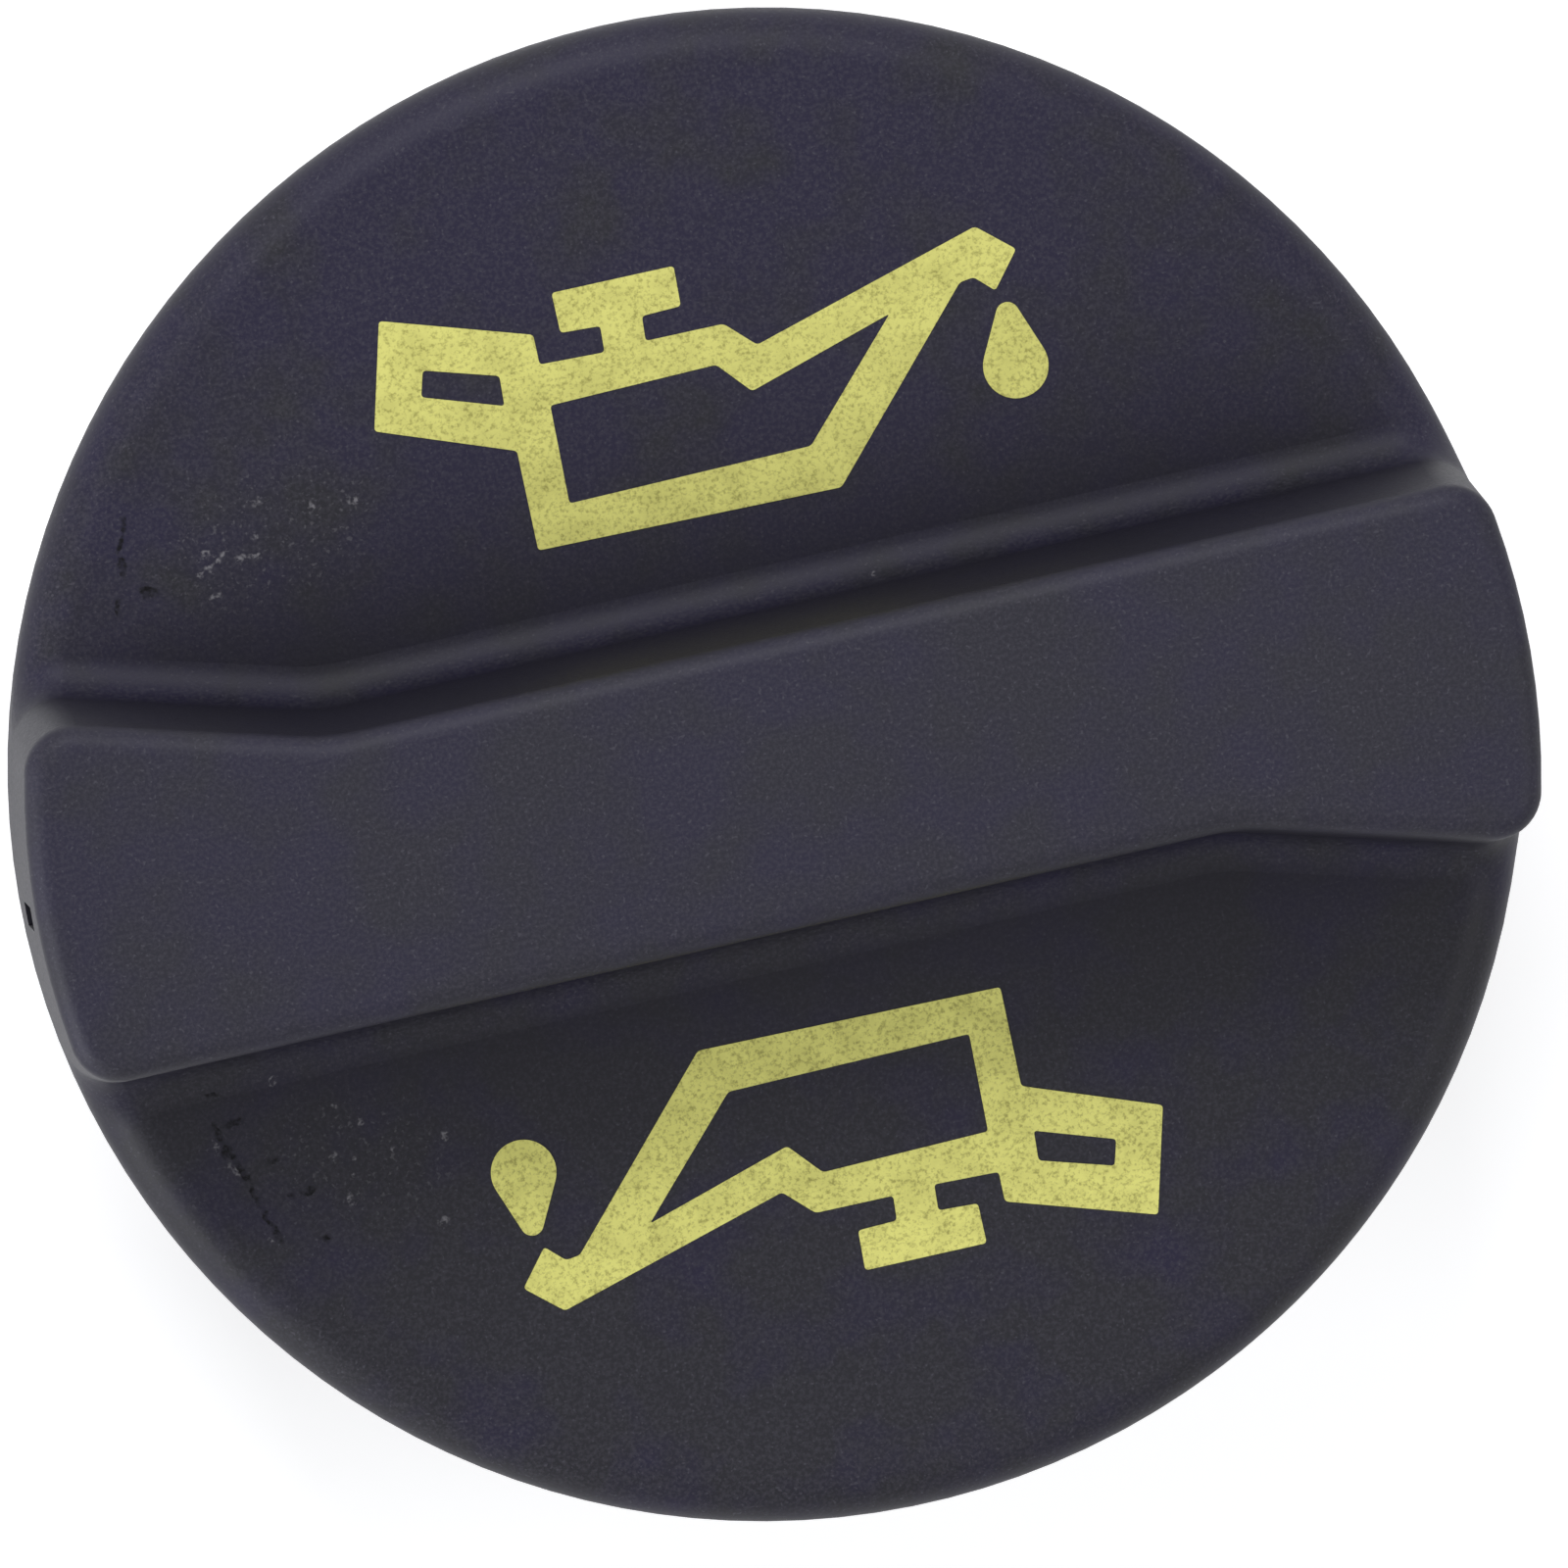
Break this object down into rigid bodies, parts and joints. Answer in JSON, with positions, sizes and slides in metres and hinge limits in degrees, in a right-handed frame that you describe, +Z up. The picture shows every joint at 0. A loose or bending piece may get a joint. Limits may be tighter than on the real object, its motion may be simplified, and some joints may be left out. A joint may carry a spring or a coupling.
{
  "type": "oil filler cap",
  "caption": "Round moulded oil filler cap with a flared grip bar, printed oil-can signs, a skirt, a bayonet spigot with ramped lugs and a rubber gasket.",
  "frame": {"origin": "centre of the spigot's open end, on the cap's axis", "axes": "+Z up along the cap's axis from the spigot to the grip, +X along the grip bar"},
  "size_m": [0.0624, 0.0624, 0.0336],
  "materials": {
    "cap_plastic": "black glass-filled nylon with a fine eroded grain",
    "gasket_rubber": "black oil-resistant rubber, satin"
  },
  "bodies": {
    "root": {"cap_body": "cap_plastic", "gasket": "gasket_rubber"}
  },
  "joints": []
}
